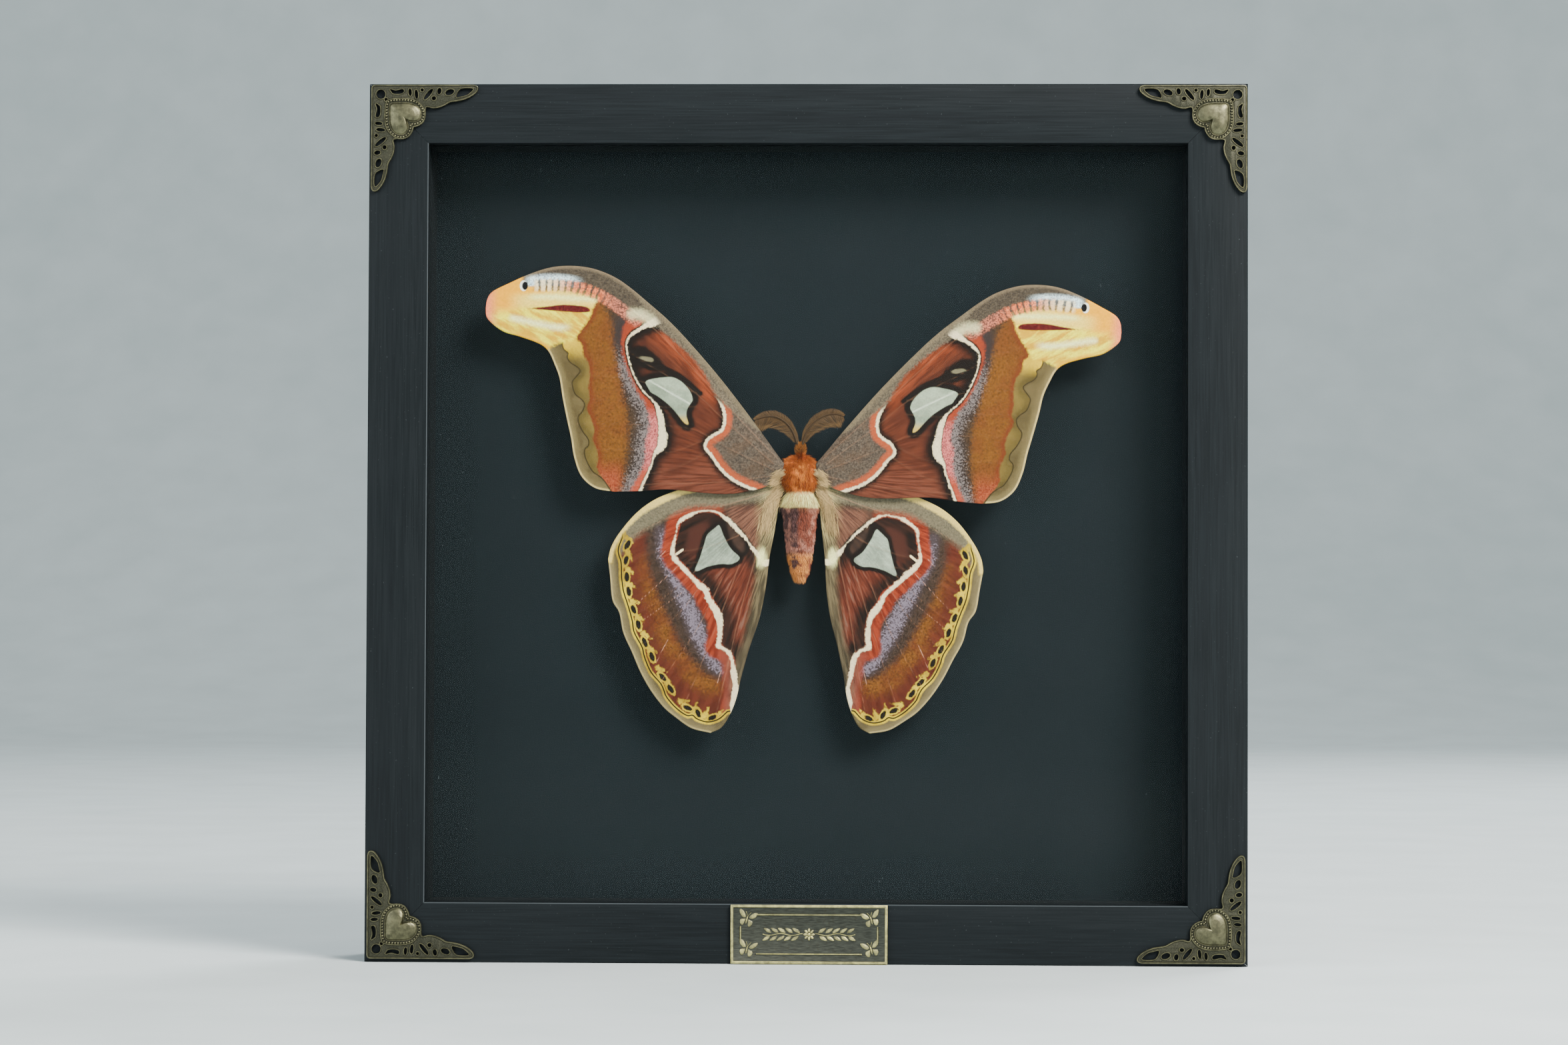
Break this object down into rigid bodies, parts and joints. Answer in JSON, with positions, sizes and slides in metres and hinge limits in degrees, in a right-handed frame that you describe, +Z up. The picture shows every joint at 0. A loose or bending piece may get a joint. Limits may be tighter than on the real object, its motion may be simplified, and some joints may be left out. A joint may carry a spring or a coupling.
{
  "type": "framed moth specimen",
  "caption": "Square black shadow box with glass, pierced brass corners and a brass plate, holding a spread atlas moth off a cloth-covered board.",
  "frame": {"origin": "middle of the underside, under the middle of the whole depth", "axes": "+X to the viewer's right, +Y from the glazed front to the back, +Z up"},
  "size_m": [0.305, 0.0451, 0.305],
  "materials": {
    "black_wood": "satin black with a fine grain",
    "clear_glass": "clear",
    "black_card": "matte black",
    "black_cloth": "matte black weave",
    "fibreboard": "plain brown fibreboard",
    "aged_brass": "antique brass, dark in its hollows",
    "dull_steel": "dull",
    "wing_scales": "powdery scales in red-brown, tan, cream and lilac",
    "body_fur": "short red-orange fur",
    "antenna_barbs": "fine brown combs"
  },
  "bodies": {
    "root": {"frame_bottom": "black_wood", "frame_right": "black_wood", "frame_top": "black_wood", "frame_left": "black_wood", "glass": "clear_glass", "spacer_bottom": "black_card", "spacer_top": "black_card", "spacer_left": "black_card", "spacer_right": "black_card", "riser_pad": "black_card", "backing_board": "black_cloth", "back_panel": "fibreboard", "corner_top_left": "aged_brass", "corner_top_right": "aged_brass", "corner_bottom_right": "aged_brass", "corner_bottom_left": "aged_brass", "name_plate": "aged_brass", "hanger": "dull_steel", "hanger_nail_left": "dull_steel", "hanger_nail_right": "dull_steel", "point_1": "dull_steel", "point_2": "dull_steel", "point_3": "dull_steel", "point_4": "dull_steel", "point_5": "dull_steel", "point_6": "dull_steel", "point_7": "dull_steel", "point_8": "dull_steel", "forewing_left": "wing_scales", "forewing_right": "wing_scales", "hindwing_left": "wing_scales", "hindwing_right": "wing_scales", "thorax": "body_fur", "head": "body_fur", "abdomen": "body_fur", "antenna_left": "antenna_barbs", "antenna_right": "antenna_barbs"}
  },
  "joints": []
}
